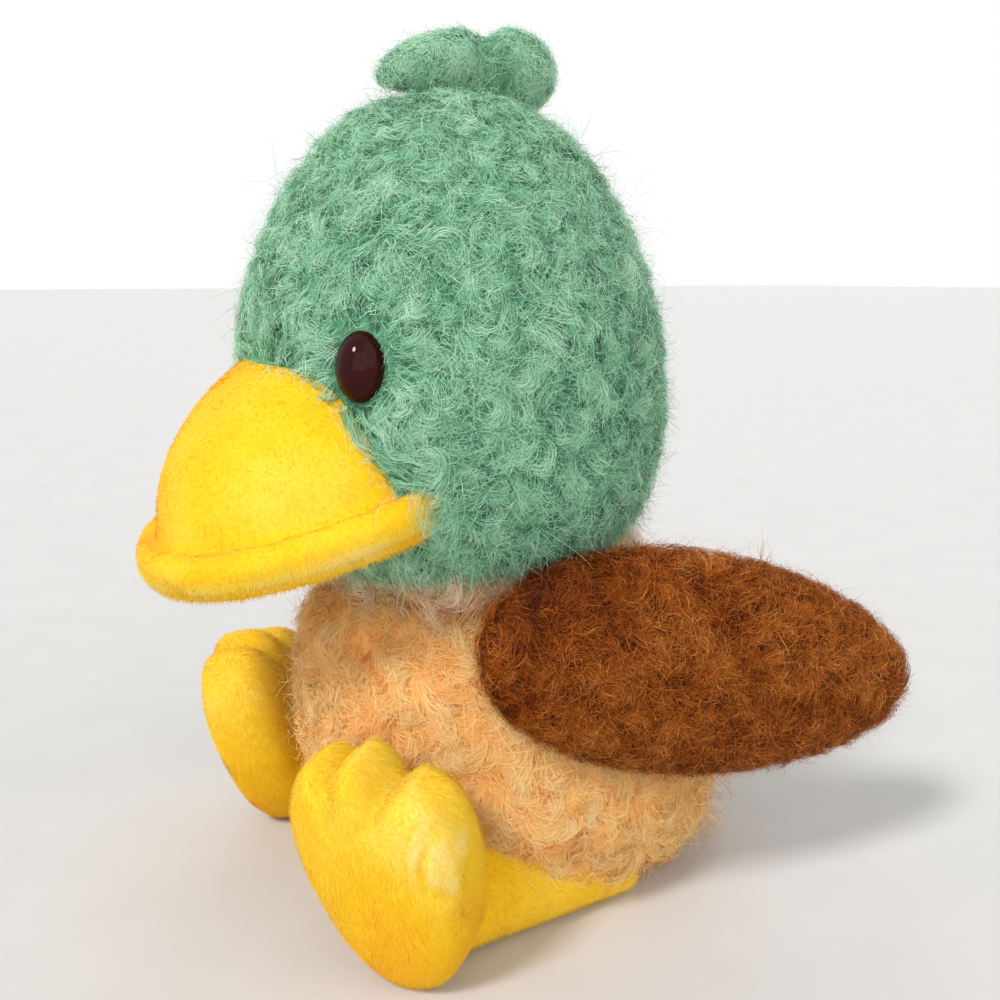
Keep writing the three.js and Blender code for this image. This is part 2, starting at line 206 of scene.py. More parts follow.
# The eye is a very dark red.
EYE = plain_material("eye_gloss", srgb(28, 2, 3), srgb(54, 6, 6), 0.05, 70, detail=2,
                     spread=0.2, gloss=0.15)
WASHER = plain_material("washer_plastic", srgb(222, 222, 218), srgb(236, 236, 232), 0.5, 400)
FLOOR = plain_material("pale_floor", srgb(214, 213, 211), srgb(217, 216, 214), 0.8, 30)

# Numbers in bulk


def unit(v):
    """Vectors made one long."""
    return v / np.maximum(np.linalg.norm(v, axis=-1, keepdims=True), 1e-9)


def dot(a, b):
    return (a * b).sum(-1, keepdims=True)


def waves(points, size, seed):
    """Smooth noise over space, mostly within -1 and 1."""
    dice = np.random.default_rng(seed)
    pull = unit(dice.normal(size=(12, 3))) * dice.uniform(0.7, 1.4, (12, 1)) * 2 * np.pi / size
    return np.sin(points @ pull.T + dice.uniform(0, 2 * np.pi, 12)).sum(1) / 3.2


def turned(v, axis, angle):
    """Vectors turned about unit axes, by an angle each."""
    c, s = np.cos(angle)[..., None], np.sin(angle)[..., None]
    return v * c + np.cross(axis, v) * s + axis * dot(axis, v) * (1 - c)


def curve(points, at, closed=False):
    """A smooth curve through points, read at places from 0 to 1."""
    p = np.array(points, float)
    n = len(p)
    if closed:
        spot = np.asarray(at) % 1 * n
        low = np.floor(spot).astype(int)
        a, b, c, d = (p[(low + k) % n] for k in (-1, 0, 1, 2))
    else:
        spot = np.clip(at, 0, 1) * (n - 1)
        low = np.minimum(np.floor(spot).astype(int), n - 2)
        a, b, c, d = (p[np.clip(low + k, 0, n - 1)] for k in (-1, 0, 1, 2))
    t = (spot - low)[..., None]
    bend = (2 * a - 5 * b + 4 * c - d) * t**2 + (3 * b - a - 3 * c + d) * t**3
    return 0.5 * (2 * b + (c - a) * t + bend)


def bell(x, width):
    """1 at nought, falling to nothing beyond the width."""
    return np.exp(-((x / width) ** 2))


# Meshes and fibres


def mesh_object(name, verts, faces, material, shade=None):
    """A smooth mesh from millimetres, with a shade for each vertex."""
    mesh = bpy.data.meshes.new(name)
    mesh.from_pydata((np.asarray(verts) * MM).tolist(), [], faces)
    mesh.polygons.foreach_set("use_smooth", np.ones(len(mesh.polygons), bool))
    return finished(name, mesh, material, shade)


def quad_object(name, verts, quads, material, shade, normals):
    """The same from whole arrays, for very many small faces that have normals of their own."""
    mesh = bpy.data.meshes.new(name)
    mesh.vertices.add(len(verts))
    mesh.vertices.foreach_set("co", (verts * MM).astype(np.float32).ravel())
    mesh.loops.add(quads.size)
    mesh.loops.foreach_set("vertex_index", quads.astype(np.int32).ravel())
    mesh.polygons.add(len(quads))
    mesh.polygons.foreach_set("loop_start", np.arange(0, quads.size, 4, dtype=np.int32))
    mesh.polygons.foreach_set("use_smooth", np.ones(len(quads), bool))
    mesh.update(calc_edges=True)
    mesh.normals_split_custom_set_from_vertices(normals)
    return finished(name, mesh, material, shade)


def finished(name, mesh, material, shade):
    if shade is not None:
        values = np.clip(shade, 0, 1).astype(np.float32)
        mesh.attributes.new("shade", "FLOAT", "POINT").data.foreach_set("value", values)
    mesh.materials.append(material)
    made = bpy.data.objects.new(name, mesh)
    bpy.context.scene.collection.objects.link(made)
    return made


def close_rows(rows):
    """Vertices and faces of a closed skin: a pole, rings of equal length and a pole."""
    rings = np.array(rows[1:-1])
    levels, sides = rings.shape[:2]
    verts = np.concatenate([[rows[0]], rings.reshape(-1, 3), [rows[-1]]])
    last = levels * sides + 1
    faces = []
    for j in range(sides):
        k = (j + 1) % sides
        faces.append((0, 1 + k, 1 + j))
        faces.append((last, last - sides + j, last - sides + k))
        for i in range(levels - 1):
            a, b = 1 + i * sides + j, 1 + i * sides + k
            faces.append((a, b, b + sides, a + sides))
    return verts, faces


class Skin:
    """A closed surface that fibres grow on: it finds places, normals and nearest points."""

    def __init__(self, rows):
        self.verts, self.faces = close_rows(rows)
        self.measure()

    def measure(self):
        quads = np.array([f for f in self.faces if len(f) == 4])
        caps = np.array([f for f in self.faces if len(f) == 3])
        tris = np.concatenate([quads[:, :3], quads[:, [0, 2, 3]], caps])
        self.tris = tris
        a, b, c = (self.verts[tris[:, k]] for k in range(3))
        cross = np.cross(b - a, c - a)
        self.area = np.linalg.norm(cross, axis=1) / 2
        normals = np.zeros_like(self.verts)
        for k in range(3):
            np.add.at(normals, tris[:, k], cross)
        self.normals = unit(normals)
        self.tri_normals = unit(self.normals[tris].sum(1))
        self.tree = BVHTree.FromPolygons(self.verts.tolist(), tris.tolist())

    def scatter(self, count, dice, keep=None):
        """Random places with their normals, spread evenly over the area that keep allows."""
        pick = dice.choice(len(self.tris), count, p=self.area / self.area.sum())
        u, v = dice.random((2, count, 1))
        flip = u + v > 1
        u, v = np.where(flip, 1 - u, u), np.where(flip, 1 - v, v)
        mix = lambda data: (
            data[self.tris[pick, 0]] * (1 - u - v)
            + data[self.tris[pick, 1]] * u
            + data[self.tris[pick, 2]] * v
        )
        places, normals = mix(self.verts), unit(mix(self.normals))
        if keep is None:
            return places, normals
        kept = keep(places) > dice.random(count)
        return places[kept], normals[kept]

    def nearest(self, points):
        found = [self.tree.find_nearest(p) for p in points.tolist()]
        places = np.array([f[0] for f in found])
        return places, self.tri_normals[[f[2] for f in found]]


def dress(obj, body, slot, *nodes, fill=None):
    """Hangs a piece on the body it rides on and hides the parts it replaces. Slot and fill are not
    used.
    """
    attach(obj, body)
    if nodes:
        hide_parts(*nodes)
    return obj


# A fur skin's low shade, 0.12 unless given, is painted shade that shows in the gaps between the
# locks.
def skin_object(name, skin, material, body, slot, *nodes, fill, shade=0.12):
    shades = np.broadcast_to(shade, len(skin.verts))
    made = mesh_object(name, skin.verts, skin.faces, material, shades)
    return dress(made, body, slot, *nodes, fill=fill)


MOST_FACES = 190000  # in one piece
PILE_NORMAL = 0.6  # how far a fibre takes light as the whole pile does
MOST_ROLL = 1.1
TAPER = 0.8
UPRIGHT = 0.3  # a step whose sine to the normal is under this stands upright
FLOOR_GAP = 0.2


def per_fibre(v):
    """A number for each fibre, shaped to multiply its path (fibre, step, xyz)."""
    return v[:, None, None]


def ribbons(name, paths, normals, width, roll, shade, material, body, slot):
    """Flat tapering fibres along paths (fibre, step, xyz), in pieces of MOST_FACES at most."""
    count, steps = paths.shape[:2]
    along = np.gradient(paths, axis=1)
    roll = np.clip(roll, -MOST_ROLL, MOST_ROLL)
    whole = unit(np.cross(paths[:, -1] - paths[:, 0], normals))
    side = np.cross(unit(along), normals[:, None])
    upright = np.linalg.norm(side, axis=2, keepdims=True) < UPRIGHT
    side = unit(np.where(upright, whole[:, None], side))
    up = unit(np.cross(side, along))
    lean = side * per_fibre(np.cos(roll)) + up * per_fibre(np.sin(roll))
    face = np.cross(lean, along)
    lit = unit(normals[:, None] * PILE_NORMAL + unit(face) * (1 - PILE_NORMAL))
    t = np.linspace(0, 1, steps)
    half = per_fibre(width) / 2 * (1 - TAPER * t**1.6)[None, :, None]
    verts = np.stack([paths - lean * half, paths + lean * half], 2)
    verts[..., 2] = np.maximum(verts[..., 2], FLOOR_GAP)
    per_piece = MOST_FACES // (steps - 1)
    parts = range(0, count, per_piece)
    for number, start in enumerate(parts, 1):
        part = verts[start:start + per_piece]
        n = len(part)
        first = (np.arange(n)[:, None] * steps + np.arange(steps - 1)) * 2
        quads = np.stack([first, first + 1, first + 3, first + 2], -1).reshape(-1, 4)
        tones = np.repeat(shade[start:start + per_piece].reshape(-1), 2)
        facing = np.repeat(lit[start:start + per_piece].reshape(-1, 3), 2, axis=0)
        label = name if len(parts) == 1 else f"{name}_{number}"
        made = quad_object(label, part.reshape(-1, 3), quads, material, tones, facing)
        dress(made, body, slot)


def free_of(avoid, paths):
    """Which fibres never come where avoid is true."""
    if avoid is None:
        return np.ones(len(paths), bool)
    return ~avoid(paths.reshape(-1, 3)).reshape(paths.shape[:2]).any(1)


def lock_guides(skin, place, normal, heading, reach, top, bend, steps):
    """The line that each lock follows: along the skin, turning as it goes and lifted off it."""
    share = np.linspace(0, 1, steps)
    rise = np.sin(np.clip(share * 1.25, 0, 1) * np.pi / 2) * (1 - 0.45 * share**3)
    step = reach / (steps - 1)
    guides = np.zeros((len(place), steps, 3))
    for k in range(steps):
        guides[:, k] = place + normal * (top * rise[k])[:, None]
        place, normal = skin.nearest(place + heading * step[:, None])
        heading = unit(heading - normal * dot(heading, normal))
        heading = turned(heading, normal, bend * step * (0.6 + 0.8 * share[k]))
    return guides


def nearest_root(roots, spots):
    """The number of the lock whose root lies nearest to each spot."""
    tree = KDTree(len(roots))
    for i, p in enumerate(roots.tolist()):
        tree.insert(p, i)
    tree.balance()
    return [tree.find(p)[1] for p in spots.tolist()]


def tousled(dice, paths, t, out, heading, stray, lift, flare):
    """Paths that wander, wave from side to side and stand out of the pile, strays the most."""
    n = len(paths)
    wander = unit(dice.normal(size=(n, 3)))[:, None] * t**1.5
    paths = paths + wander * per_fibre(np.where(stray, 2.2, 0.7))
    wave = np.sin(t * per_fibre(dice.uniform(5, 9, n)) + per_fibre(dice.uniform(0, 6, n)))
    sideways = unit(np.cross(out, heading))[:, None]
    paths = paths + sideways * wave * t * per_fibre(dice.uniform(0.1, 0.55, n))
    extra = np.where(stray, dice.uniform(0.2, 1.3, n) * lift, dice.normal(0, 0.3, n))
    return paths + out[:, None] * (per_fibre(extra) * t + flare * t**2)


LOCK_AREA = 0.87  # of its spacing squared, where locks lie in six-sided packing


def pile(name, skin, material, body, slot, count, spacing, length, lift, width, comb,
         swirl=1.2, swirl_size=18, toss=1.1, curl=0.2, clump=0.5, loose=0.2, steps=6, seed=1,
         keep=None, tone=None, root=0.12, tip=0.72, flare=0, steady=None, fleck=0.1, avoid=None,
         uneven=0.11):
    """Curly pile: locks follow combed, swirling guides over the skin, and each fibre gathers
    into its lock towards the tip. Loose fibres stray and stand out of the pile. Steady gives
    how much a place's locks may turn from the comb, from 0 to 1. Root and tip are the shades at
    a fibre's ends; a darker root is painted shade, deep in the pile. A fibre that comes where
    avoid is true isn't made."""
    dice = np.random.default_rng(seed)
    steady = steady or (lambda p: 1)

    roots, normal = skin.scatter(int(skin.area.sum() / (spacing**2 * LOCK_AREA)), dice, keep)
    locks = len(roots)
    calm = steady(roots)
    heading = comb(roots)
    heading = unit(heading - normal * dot(heading, normal) + 1e-6)
    angle = waves(roots, swirl_size, seed) * swirl + dice.normal(0, toss, locks)
    heading = turned(heading, normal, angle * calm)
    reach = length * dice.uniform(0.75, 1.2, locks)
    bend = (dice.normal(0, curl, locks) + waves(roots, swirl_size * 1.3, seed + 50) * curl) * calm
    top = lift * dice.uniform(0.55, 1.35, locks)
    guides = lock_guides(skin, roots, normal, heading, reach, top, bend, steps)

    spot, out = skin.scatter(count, dice, keep)
    n = len(spot)
    lock = nearest_root(roots, spot)
    stray = dice.random(n) < loose * steady(spot)
    t = np.linspace(0, 1, steps)[None, :, None]
    turn = dice.normal(0, 0.22, n) + np.where(stray, dice.normal(0, 1.0, n), 0)
    turn = np.repeat((turn * steady(spot))[:, None], steps, 1)
    along = guides[lock] - roots[lock][:, None]
    along = turned(along, np.repeat(out[:, None], steps, 1), turn)
    along = along * per_fibre(dice.uniform(0.7, 1.1, n) * np.where(stray, 1.15, 1))
    gather = per_fibre(np.where(stray, 0.05, clump * dice.uniform(0.5, 1.2, n))) * t**0.8
    paths = spot[:, None] + along + (roots[lock] - spot)[:, None] * gather
    paths = tousled(dice, paths, t, out, along[:, -1], stray, lift, flare)

    lock_tone = dice.normal(0, uneven, locks)[lock] + waves(spot, 9, seed + 9) * 0.06
    # Painted shade: each fibre darkens from tip to root, as if shaded deep in the pile.
    base = root + (tip - root) * t[..., 0] ** 0.8
    shade = base + (lock_tone + dice.normal(0, fleck, n) + np.where(stray, 0.1, 0))[:, None]
    if tone is not None:
        shade = shade + tone(spot)[:, None]
    thick = width * dice.uniform(0.6, 1.3, n) * np.where(stray, 0.7, 1)
    roll = dice.normal(0, 0.5, n)
    free = free_of(avoid, paths)
    paths, out, thick, roll, shade = (v[free] for v in (paths, out, thick, roll, shade))
    ribbons(name, paths, out, thick, roll, shade, material, body, slot)


def fuzz(name, skin, material, body, slot, count, length, width, lift, seed, keep=None,
         tone=None, shade=0.7, avoid=None):
    """Fine short fibres that lie every way in the top of the pile and mat it: each is a bow of
    three points."""
    dice = np.random.default_rng(seed)
    spot, out = skin.scatter(count, dice, keep)
    n = len(spot)
    way = dice.normal(size=(n, 3))
    way = unit(way - out * dot(way, out) * 0.75)
    aside = np.cross(out, way) * dice.normal(0, 0.5, (n, 1))
    t = np.linspace(-0.5, 0.5, 3)[None, :, None]
    size = per_fibre(length * dice.uniform(0.5, 1.4, n))
    start = spot + out * (lift * dice.uniform(0.35, 1.1, n))[:, None]
    paths = start[:, None] + (way[:, None] * t + aside[:, None] * t**2 * 2) * size
    shades = shade + 0 * t[..., 0] + dice.normal(0, 0.12, n)[:, None]
    if tone is not None:
        shades = shades + tone(spot)[:, None]
    thick = width * dice.uniform(0.6, 1.3, n)
    free = free_of(avoid, paths)
    paths, out, thick, shades = (v[free] for v in (paths, out, thick, shades))
    roll = dice.normal(0, 0.8, len(paths))
    ribbons(name, paths, out, thick, roll, shades, material, body, slot)


def nap(name, skin, material, body, slot, count, length, width, comb, seed, keep=None,
        tone=None, stand=0.8):
    """Short velour pile: small straight fibres that lean with the nap."""
    dice = np.random.default_rng(seed)
    spot, out = skin.scatter(count, dice, keep)
    n = len(spot)
    lean = comb(spot)
    lean = unit(lean - out * dot(lean, out) + 1e-6)
    lean = turned(lean, out, waves(spot, 14, seed) * 0.7 + dice.normal(0, 0.5, n))
    t = np.linspace(0, 1, 2)[None, :, None]
    size = per_fibre(length * dice.uniform(0.6, 1.25, n))
    paths = spot[:, None] - out[:, None] * 0.15 + out[:, None] * size * t * stand
    paths = paths + lean[:, None] * size * t**1.5 * 0.8
    # Painted shade: a fibre is a little darker at its root than at its tip.
    shade = 0.5 + 0.06 * (t[..., 0] - 0.5) + dice.normal(0, 0.04, n)[:, None]
    if tone is not None:
        shade = shade + tone(spot)[:, None]
    thick = width * dice.uniform(0.7, 1.3, n)
    ribbons(name, paths, out, thick, dice.normal(0, 0.4, n), shade, material, body, slot)


# The forms

SIDES = 120
ANGLES = np.arange(SIDES) / SIDES * 2 * np.pi
COS, SIN = np.cos(ANGLES), np.sin(ANGLES)
# How far the cloth under the pile lies inside each solid's face, and over the floor.
SUNK, CREST_SUNK, COLLAR_SUNK, VELOUR_SUNK = 2.4, 1.6, 1.5, 0.7
SEAT_CLEAR, LIMB_CLEAR = 0.3, 0.4

HEAD_RADIUS, HEAD_HEIGHT, HEAD_BOTTOM, HEAD_FORWARD = 55, 121, 87, 12.6
HEAD_SHARES = [
    (0, 0), (0.4, 0.012), (0.7, 0.06), (0.91, 0.15), (0.995, 0.28), (1, 0.4), (0.965, 0.53),
    (0.875, 0.67), (0.735, 0.8), (0.53, 0.915), (0.28, 0.978), (0, 1),
]
HEAD_SIZE = [HEAD_RADIUS, HEAD_HEIGHT]
HEAD_LINE = curve(HEAD_SHARES, np.linspace(0, 1, 200)) * HEAD_SIZE + [0, HEAD_BOTTOM]


def head_rows(grow):
    """A round egg, turned from its profile."""
    profile = curve(HEAD_SHARES, np.linspace(0, 1, 90))
    radius = profile[:, 0] * (HEAD_RADIUS + grow)
    z = HEAD_BOTTOM + HEAD_HEIGHT / 2 + (profile[:, 1] - 0.5) * (HEAD_HEIGHT + 2 * grow)
    rows = [np.stack([r * COS, r * SIN - HEAD_FORWARD, np.full(SIDES, h)], 1)
            for r, h in zip(radius[1:-1], z[1:-1])]
    pole = lambda h: np.array([0, -HEAD_FORWARD, h])
    return [pole(z[0]), *rows, pole(z[-1])]


BODY_HALF_WIDTH, BODY_HALF_DEPTH, BODY_LEAN, SEAT_BACK, BODY_HEIGHT = 52, 60, 20, 14, 93
BODY_SHARES = [
    (0, 0.62, 0), (0.04, 0.78, 0), (0.11, 0.87, 0.05), (0.21, 0.95, 0.175), (0.34, 0.99, 0.35),
    (0.48, 0.955, 0.575), (0.62, 0.91, 0.725), (0.75, 0.86, 0.85), (0.86, 0.78, 0.925),
    (0.94, 0.64, 0.975), (0.985, 0.42, 1),
]


def body_rows(grow):
    """A pear that leans forward at the chest, with a flat seat."""
    level = curve(BODY_SHARES, np.linspace(0, 1, 70))
    z = np.maximum(BODY_HEIGHT / 2 + (level[:, 0] - 0.5) * (BODY_HEIGHT + 2 * grow), SEAT_CLEAR)
    back = SEAT_BACK - BODY_LEAN * level[:, 2]
    rows = [
        np.stack([(BODY_HALF_WIDTH + grow) * g * COS,
                  (BODY_HALF_DEPTH + grow) * g * SIN + b, np.full(SIDES, h)], 1)
        for g, b, h in zip(level[:, 1], back, z)
    ]
    pole = lambda i: np.array([0, back[i], z[i]])
    return [pole(0), *rows, pole(-1)]


def move(points, x, y, z):
    return points + np.array([x, y, z])


def spin(points, axis, degrees):
    """Points turned about the X, Y or Z axis, given as 0, 1 or 2."""
    v = np.zeros(3)
    v[axis] = 1
    p = np.asarray(points, float)
    return turned(p, np.broadcast_to(v, p.shape), np.full(p.shape[:-1], math.radians(degrees)))


def pillow_rows(outline, half, edge, levels=60, shape=None):
    """A pillow over an outline (sides, 2), thick at the middle and full at its edge."""
    lift = (np.linspace(0, 1, levels) - 0.5) * np.pi
    rows = []
    for a in lift[1:-1]:
        spread = np.cos(a) ** edge
        z = half * np.sign(a) * np.abs(np.sin(a)) ** edge
        rows.append(np.concatenate([outline * spread, np.full((len(outline), 1), z)], 1))
    rows = [np.array([0, 0, -half]), *rows, np.array([0, 0, half])]
    return [shape(r) for r in rows] if shape else rows


WING_LENGTH, WING_HEIGHT, WING_THICKNESS = 128, 58, 27
WING_DROOP, WING_FLARE = 12.5, 8.5
WING_INSET, WING_FRONT, WING_DROP = 5, 32, 10
WING_TAPER, WING_EDGE = 0.13, 0.75
WING_SEAM = -WING_LENGTH / 2 + 11
SEAM_WIDTH, SEAM_DEPTH = 3.2, 0.22


def wing_place(p):
    """From the wing's own frame, length along X and face up Z, to its seat on the left side."""
    p = spin(move(p, WING_LENGTH / 2, 0, 0), 2, -WING_DROOP)
    p = spin(spin(p, 0, 90), 2, 90 - WING_FLARE)
    return move(p, BODY_HALF_WIDTH - WING_INSET, -WING_FRONT, BODY_HEIGHT - WING_DROP)


def wing_rows(grow):
    """A flat teardrop pillow."""
    taper = 1 - WING_TAPER * COS
    outline = np.stack([(WING_LENGTH / 2 + grow) * COS, (WING_HEIGHT / 2 + grow) * SIN * taper], 1)
    return pillow_rows(outline, WING_THICKNESS / 2 + grow, WING_EDGE, shape=wing_shape)


def wing_shape(p):
    """The front edge is a gathered roll, set off by a shallow groove."""
    q = np.atleast_2d(p).copy()
    groove = bell(q[:, 0] - WING_SEAM - 2.5 * np.sin(q[:, 1] * 0.3), SEAM_WIDTH)
    q[:, 2] *= 1 - SEAM_DEPTH * groove
    return wing_place(q).reshape(p.shape)


CREST_LENGTH, CREST_RISE, CREST_GIRTH, CREST_WIDE = 34, 6, 7.5, 1.3
CREST_Y, CREST_Z = 5, 210
CREST_PINCH, PINCH_DEPTH, PINCH_WIDTH = 0.47, 0.34, 0.055
# Reach, rise and girth of the spots along its middle.
CREST_SPINE = [(0, 0, 1), (0.1, 0.55, 1.16), (0, 1, 1.16), (-0.25, 1.02, 1),
               (-0.54, 0.9, 0.96), (-0.8, 0.6, 0.76), (-1, 0.2, 0.44)]


def crest_spine(at):
    """Y and Z of the roll's middle, at shares of its length."""
    spots = [(y * CREST_LENGTH + CREST_Y, z * CREST_RISE + CREST_Z) for y, z, _ in CREST_SPINE]
    return curve(spots, at)


def crest_rows(grow):
    """A tuft that rises from its root, rolls forward over the crown and is tied once."""
    at = np.linspace(0, 1, 60)
    spots = crest_spine(at)
    girth = curve([(g, 0) for *_, g in CREST_SPINE], at)[:, 0] * CREST_GIRTH + grow
    ahead = unit(np.gradient(spots, axis=0))
    rows = []
    for share, (y, z), (fy, fz), r in zip(at, spots, ahead, girth):
        up = np.array([0, fz, -fy])
        r = r * (1 - PINCH_DEPTH * bell(share - CREST_PINCH - 0.08 * COS, PINCH_WIDTH))
        ring = np.stack([CREST_WIDE * r * COS, np.zeros(SIDES), np.zeros(SIDES)], 1)
        tall = r * SIN * np.where(SIN < 0, 1.25 + 0.4 * bell(share - 0.4, 0.2), 1)
        rows.append(ring + up * tall[:, None] + [0, y, z])
    ends = [np.array([0, *spots[0]]), np.array([0, *(spots[-1] + ahead[-1] * 2.5)])]
    return [ends[0], *rows, ends[1]]


COLLAR_RADIUS, COLLAR_HALF_WIDTH, COLLAR_HALF_HEIGHT = 40, 8.5, 7.5
COLLAR_Y, COLLAR_Z = -4, 90


def collar_rows(grow):
    """The neck ring as a wide flat bun between body and head."""
    tall = COLLAR_HALF_HEIGHT + grow
    rows = []
    for a in np.linspace(-np.pi / 2, np.pi / 2, 24)[1:-1]:
        r = COLLAR_RADIUS - COLLAR_HALF_WIDTH + (COLLAR_HALF_WIDTH + grow) * np.cos(a)
        h = COLLAR_Z + tall * np.sin(a)
        rows.append(np.stack([r * COS, r * SIN + COLLAR_Y, np.full(SIDES, h)], 1))
    pole = lambda h: np.array([0, COLLAR_Y, h])
    return [pole(COLLAR_Z - tall), *rows, pole(COLLAR_Z + tall)]


HIP_BALL, ANKLE_BALL = 6, 16.5
HIP = np.array([36.5, 18, 5.5])
ANKLE = np.array([33.5, -31, 16.0])


def leg_rows(grow):
    """A teardrop that swells from the hip to the ankle ball."""
    axis = unit(ANKLE - HIP)
    side = unit(np.cross([0, 0, 1], axis))
    up = np.cross(axis, side)
    tilt = math.asin((ANKLE_BALL - HIP_BALL) / np.linalg.norm(ANKLE - HIP))
    rows = []
    small, large = HIP_BALL + grow, ANKLE_BALL + grow
    hip_end = [(HIP, small, a) for a in np.linspace(np.pi, np.pi / 2 + tilt, 12)[1:]]
    ankle_end = [(ANKLE, large, a) for a in np.linspace(np.pi / 2 + tilt, 0, 24)[:-1]]
    bridge = []
    (c0, r0, a0), (c1, r1, _) = hip_end[-1], ankle_end[0]
    for s in np.linspace(0, 1, 22)[1:-1]:
        bridge.append((c0 + (c1 - c0) * s, r0 + (r1 - r0) * s, a0))
    for c, r, a in [*hip_end, *bridge, *ankle_end]:
        middle = c + axis * r * math.cos(a)
        ring = middle + (side * COS[:, None] + up * SIN[:, None]) * (r * math.sin(a))
        rows.append(ring)
    return [HIP - axis * small, *rows, ANKLE + axis * large]


FOOT_HEIGHT, FOOT_WIDTH, FOOT_THICKNESS, FOOT_EDGE, FLOOR_CUT = 64, 44, 26, 0.6, 0.5
FOOT_ROLL, FOOT_LEAN, FOOT_AHEAD, FOOT_SPLAY = 7, 13, 13, 33
# From the heel up the outer side, over three toes and down the inner side.
FOOT_SHARES = [
    (0, -1), (0.45, -0.88), (0.8, -0.5), (1, 0), (1.02, 0.38), (0.88, 0.68), (0.56, 0.8),
    (0.26, 0.68), (-0.02, 0.99), (-0.32, 0.8), (-0.62, 0.92), (-0.94, 0.6), (-0.98, 0.1),
    (-0.78, -0.5), (-0.42, -0.88),
]
NOTCHES = (7, 9)
NOTCH_FILL = 0.16
# The lower end and the depth of the fold from each notch.
TOE_FOLDS = ((6, 0.9), (16, 0.5))


def foot_shape(p, folds):
    """Toes: a soft fold runs down the sole from each notch."""
    p = np.atleast_2d(p).copy()
    x, y = p[:, 0], p[:, 1]
    for notch, (low, depth) in zip(NOTCHES, TOE_FOLDS):
        nx, ny = FOOT_SHARES[notch]
        hx, hy = nx * FOOT_WIDTH / 2, ny * FOOT_HEIGHT / 2
        run = np.clip((hy - y) / (hy - low), 0, 1.4)
        line = hx * (1 - 0.35 * run)
        fade = np.clip(1.15 - run, 0, 1)
        p[:, 2] -= np.sign(p[:, 2]) * (depth * folds) * bell(x - line, 3) * fade * (y < hy + 4)
    return p


def foot_place(p, spread, folds):
    p = spin(move(foot_shape(p, folds), 0, FOOT_HEIGHT / 2 - FLOOR_CUT, 0), 2, FOOT_ROLL)
    p = spin(p, 0, 90 + FOOT_LEAN)
    p = spin(move(p, 0, -FOOT_AHEAD, 0), 2, FOOT_SPLAY)
    p = move(p, *(ANKLE * [1, 1, 0]))
    p[..., 2] = np.maximum(p[..., 2], LIMB_CLEAR)
    return turn_out(p, spread)


def turn_out(p, spread):
    """Turned outward about the upright line through the hip."""
    hip = HIP * [1, 1, 0]
    return move(spin(move(p, *-hip), 2, spread), *hip)


def foot_rows(grow, spread, folds):
    """A foot whose toes are as deeply parted as folds says, from 0 to 1."""
    shares = np.array(FOOT_SHARES)
    for notch in NOTCHES:
        shares[notch, 1] += (1 - folds) * NOTCH_FILL
    outline = curve(shares, np.arange(SIDES) / SIDES, closed=True)
    outline = outline * [FOOT_WIDTH / 2 + grow, FOOT_HEIGHT / 2 + grow]
    rows = pillow_rows(outline, FOOT_THICKNESS / 2 + grow, FOOT_EDGE)
    return [foot_place(r, spread, folds) if r.ndim > 1 else foot_place(r, spread, folds)[0]
            for r in rows]


BILL_WIDE, BILL_LONG, BILL_DOME, BILL_TILT = 39, 45.5, 37, 18.5
BILL_AHEAD, BILL_LIFT = 31.4, 26
BILL_SIDE, BILL_RIDGE = 0.66, 1.15
LOWER_REACH, LOWER_HALF, MOUTH_GAP = 5.2, 3.0, 0.3
# How far the brim reaches past the mouth's outline, and its height, from the crease round.
BRIM = [
    (0.1, 5.0), (0.9, 4.4), (2.1, 4.6), (3.4, 4.8), (4.7, 4.3), (5.7, 3.2), (6.2, 1.4),
    (6.2, -0.6), (5.8, -2.5), (4.9, -3.9), (3.4, -4.2), (2.0, -3.0),
]
PUCKER, PUCKERS = 0.28, 31


def bill_place(p):
    """From the bill's own frame, over the mouth's plane, to its seat on the head."""
    return move(spin(p, 0, BILL_TILT), 0, -HEAD_FORWARD - BILL_AHEAD, HEAD_BOTTOM + BILL_LIFT)


def bill_frame(p):
    """From the bill's seat on the head to its own frame."""
    return spin(move(p, 0, HEAD_FORWARD + BILL_AHEAD, -HEAD_BOTTOM - BILL_LIFT), 0, -BILL_TILT)


def oval(wide, long, z):
    return np.stack([wide * COS, long * SIN, np.full(SIDES, float(z))], 1)


def bill_upper_rows():
    """A full dome that flows through a soft crease into a brim with a rounded edge."""
    rows = []
    for a in np.radians(np.linspace(88, 11, 40)):
        wide = BILL_WIDE * math.cos(a) ** BILL_SIDE
        long = BILL_LONG * math.cos(a) ** BILL_RIDGE
        rows.append(oval(wide, long, BILL_DOME * math.sin(a)))
    brim = curve(BRIM, np.linspace(0, 1, 30))
    rows += [oval(BILL_WIDE + r, BILL_LONG + r, z) for r, z in brim]
    rows += [oval(BILL_WIDE * s, BILL_LONG * s, -0.2) for s in (0.9, 0.6, 0.3)]
    wave = np.sin(ANGLES * PUCKERS + 2 * np.sin(ANGLES * 5))[:, None]
    puckered = []
    for r in rows:
        crease = bell(r[:, 2] - 6, 3.0)[:, None] if r[:, 2].max() < 12 else 0
        puckered.append(r + np.array([0, 0, PUCKER]) * crease * wave)
    out = [np.array([0, 0, -0.2]), *puckered[::-1], np.array([0, 0, BILL_DOME])]
    return [bill_place(r) for r in out]


